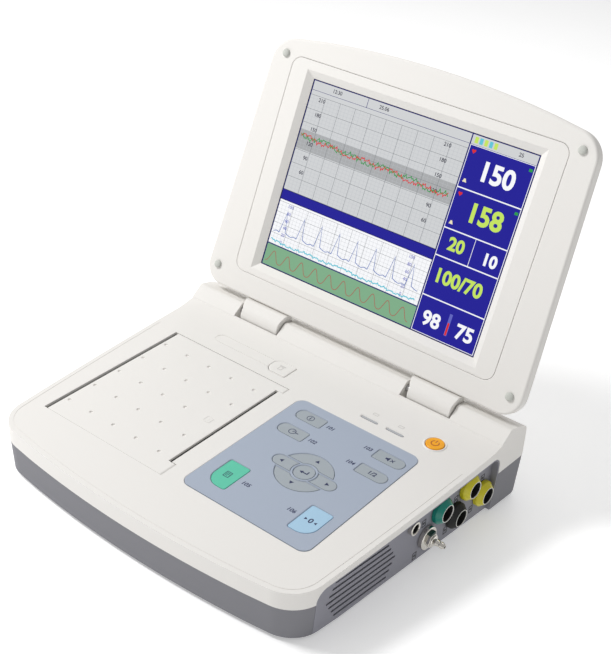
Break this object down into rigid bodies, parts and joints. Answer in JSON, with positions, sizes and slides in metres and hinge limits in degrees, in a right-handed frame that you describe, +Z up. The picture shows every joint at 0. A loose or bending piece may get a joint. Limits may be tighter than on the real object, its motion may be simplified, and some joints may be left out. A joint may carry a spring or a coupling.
{
  "type": "patient monitor",
  "caption": "Bedside fetal and maternal monitor: wedge base with chart printer and keypad, hinged flip-up screen, side sockets and vents.",
  "frame": {"origin": "on the table under the middle of the overall box, with the lid open as in the picture", "axes": "+Z up, +Y from the front edge towards the back (the lid stands at the back), +X along the hinge towards the side with the sockets"},
  "size_m": [0.3751, 0.3871, 0.3446],
  "materials": {
    "white_plastic": "fine matte moulded ABS, warm white with faint speckle",
    "grey_plastic": "matte moulded plastic, grey",
    "panel_grey": "matte moulded plastic, dark violet grey",
    "keypad_blue": "blue-grey printed film with fine metallic speckle",
    "key_grey": "satin film over rubber, cool grey",
    "key_green": "satin film over rubber, mint green",
    "key_blue": "satin film over rubber, light blue",
    "power_amber": "smooth amber plastic",
    "teal_plastic": "smooth moulded plastic, teal",
    "yellow_plastic": "smooth moulded plastic, yellow",
    "black_plastic": "black moulded plastic",
    "nickel": "bright nickel plate on turned brass",
    "steel": "plain steel",
    "black_rubber": "black rubber",
    "light_rubber": "pale grey-green soft rubber",
    "circuit_board": "green glass-fibre circuit board",
    "screen_glass": "dark display face behind anti-glare film",
    "lamp_grey": "translucent grey light pipe, off",
    "brass": "machined brass",
    "aluminium": "pressed aluminium sheet"
  },
  "bodies": {
    "base": {"battery_cover": "grey_plastic", "battery_pack": "black_plastic", "bottom_case": "grey_plastic", "connector_panel": "panel_grey", "earth_post": "brass", "foot_front_left": "black_rubber", "foot_front_right": "black_rubber", "foot_rear_left": "black_rubber", "foot_rear_right": "black_rubber", "hinge_shaft_left": "steel", "hinge_shaft_right": "steel", "keypad_board": "circuit_board", "keypad_panel": "keypad_blue", "lamp_charge": "lamp_grey", "lamp_power": "lamp_grey", "main_board": "circuit_board", "marker_jack": "nickel", "paper_tray": "black_plastic", "power_inlet": "black_plastic", "power_supply": "aluminium", "pressure_coupling": "nickel", "pressure_pump": "black_plastic", "printer_motor": "steel", "socket_black": "black_plastic", "socket_teal": "teal_plastic", "socket_yellow_lower": "yellow_plastic", "socket_yellow_upper": "yellow_plastic", "speaker": "black_plastic", "top_case": "white_plastic"},
    "lid": {"lid_front_shell": "white_plastic", "lid_rear_shell": "white_plastic", "display_bezel": "white_plastic", "display_panel": "screen_glass", "display_board": "circuit_board", "lid_bumper_lower_left": "light_rubber", "lid_bumper_lower_right": "light_rubber", "lid_bumper_upper_left": "light_rubber", "lid_bumper_upper_right": "light_rubber", "knuckle_left": "white_plastic", "knuckle_right": "white_plastic"},
    "printer_door": {"paper_door": "white_plastic", "print_head": "steel"},
    "paper_roller": {"platen_roller": "black_rubber", "roller_gear": "brass"},
    "pinion": {"motor_pinion": "brass"},
    "key_down_body": {"key_down": "key_grey"},
    "key_enter_body": {"key_enter": "key_grey"},
    "key_info_body": {"key_info": "key_grey"},
    "key_left_body": {"key_left": "key_grey"},
    "key_pressure_body": {"key_pressure": "key_grey"},
    "key_print_body": {"key_print": "key_green"},
    "key_right_body": {"key_right": "key_grey"},
    "key_select_body": {"key_select": "key_grey"},
    "key_silence_body": {"key_silence": "key_grey"},
    "key_up_body": {"key_up": "key_grey"},
    "key_zero_body": {"key_zero": "key_blue"},
    "power_button_body": {"power_button": "power_amber"},
    "door_release_button_body": {"door_release_button": "white_plastic"}
  },
  "joints": [
    {"name": "lid_hinge", "type": "hinge", "parent": "base", "child": "lid", "pos_m": [-0.0051, 0.09143, 0.07894], "axis": [-1, 0, 0], "range_deg": [-112.4, 7.6]},
    {"name": "printer_door_hinge", "type": "hinge", "parent": "base", "child": "printer_door", "pos_m": [-0.017, -0.05553, 0.05831], "axis": [0, 0.9962, 0.0872], "range_deg": [0, 90]},
    {"name": "paper_roller_spin", "type": "hinge", "parent": "base", "child": "paper_roller", "pos_m": [-0.1451, -0.05483, 0.05034], "axis": [0, 0.9962, 0.0872], "continuous": true},
    {"name": "motor_pinion_spin", "type": "hinge", "parent": "base", "child": "pinion", "pos_m": [-0.13725, 0.03551, 0.05036], "axis": [0, 0.9962, 0.0872], "continuous": true},
    {"name": "key_down_press", "type": "slide", "parent": "base", "child": "key_down_body", "axis": [0, 0.0872, -0.9962], "range_m": [0, 0.001], "stiffness_N_per_m": 1200, "springref_m": -0.0003},
    {"name": "key_enter_press", "type": "slide", "parent": "base", "child": "key_enter_body", "axis": [0, 0.0872, -0.9962], "range_m": [0, 0.001], "stiffness_N_per_m": 1200, "springref_m": -0.0003},
    {"name": "key_info_press", "type": "slide", "parent": "base", "child": "key_info_body", "axis": [0, 0.0872, -0.9962], "range_m": [0, 0.001], "stiffness_N_per_m": 1200, "springref_m": -0.0003},
    {"name": "key_left_press", "type": "slide", "parent": "base", "child": "key_left_body", "axis": [0, 0.0872, -0.9962], "range_m": [0, 0.001], "stiffness_N_per_m": 1200, "springref_m": -0.0003},
    {"name": "key_pressure_press", "type": "slide", "parent": "base", "child": "key_pressure_body", "axis": [0, 0.0872, -0.9962], "range_m": [0, 0.001], "stiffness_N_per_m": 1200, "springref_m": -0.0003},
    {"name": "key_print_press", "type": "slide", "parent": "base", "child": "key_print_body", "axis": [0, 0.0872, -0.9962], "range_m": [0, 0.001], "stiffness_N_per_m": 1200, "springref_m": -0.0003},
    {"name": "key_right_press", "type": "slide", "parent": "base", "child": "key_right_body", "axis": [0, 0.0872, -0.9962], "range_m": [0, 0.001], "stiffness_N_per_m": 1200, "springref_m": -0.0003},
    {"name": "key_select_press", "type": "slide", "parent": "base", "child": "key_select_body", "axis": [0, 0.0872, -0.9962], "range_m": [0, 0.001], "stiffness_N_per_m": 1200, "springref_m": -0.0003},
    {"name": "key_silence_press", "type": "slide", "parent": "base", "child": "key_silence_body", "axis": [0, 0.0872, -0.9962], "range_m": [0, 0.001], "stiffness_N_per_m": 1200, "springref_m": -0.0003},
    {"name": "key_up_press", "type": "slide", "parent": "base", "child": "key_up_body", "axis": [0, 0.0872, -0.9962], "range_m": [0, 0.001], "stiffness_N_per_m": 1200, "springref_m": -0.0003},
    {"name": "key_zero_press", "type": "slide", "parent": "base", "child": "key_zero_body", "axis": [0, 0.0872, -0.9962], "range_m": [0, 0.001], "stiffness_N_per_m": 1200, "springref_m": -0.0003},
    {"name": "power_button_press", "type": "slide", "parent": "base", "child": "power_button_body", "axis": [0, 0.0872, -0.9962], "range_m": [0, 0.0012], "stiffness_N_per_m": 1500, "springref_m": -0.0003},
    {"name": "door_release_button_press", "type": "slide", "parent": "base", "child": "door_release_button_body", "axis": [0, 0.0872, -0.9962], "range_m": [0, 0.001], "stiffness_N_per_m": 1500, "springref_m": -0.0003}
  ],
  "couplings": [
    {"joint": "motor_pinion_spin", "follows": "paper_roller_spin", "ratio": -2}
  ]
}
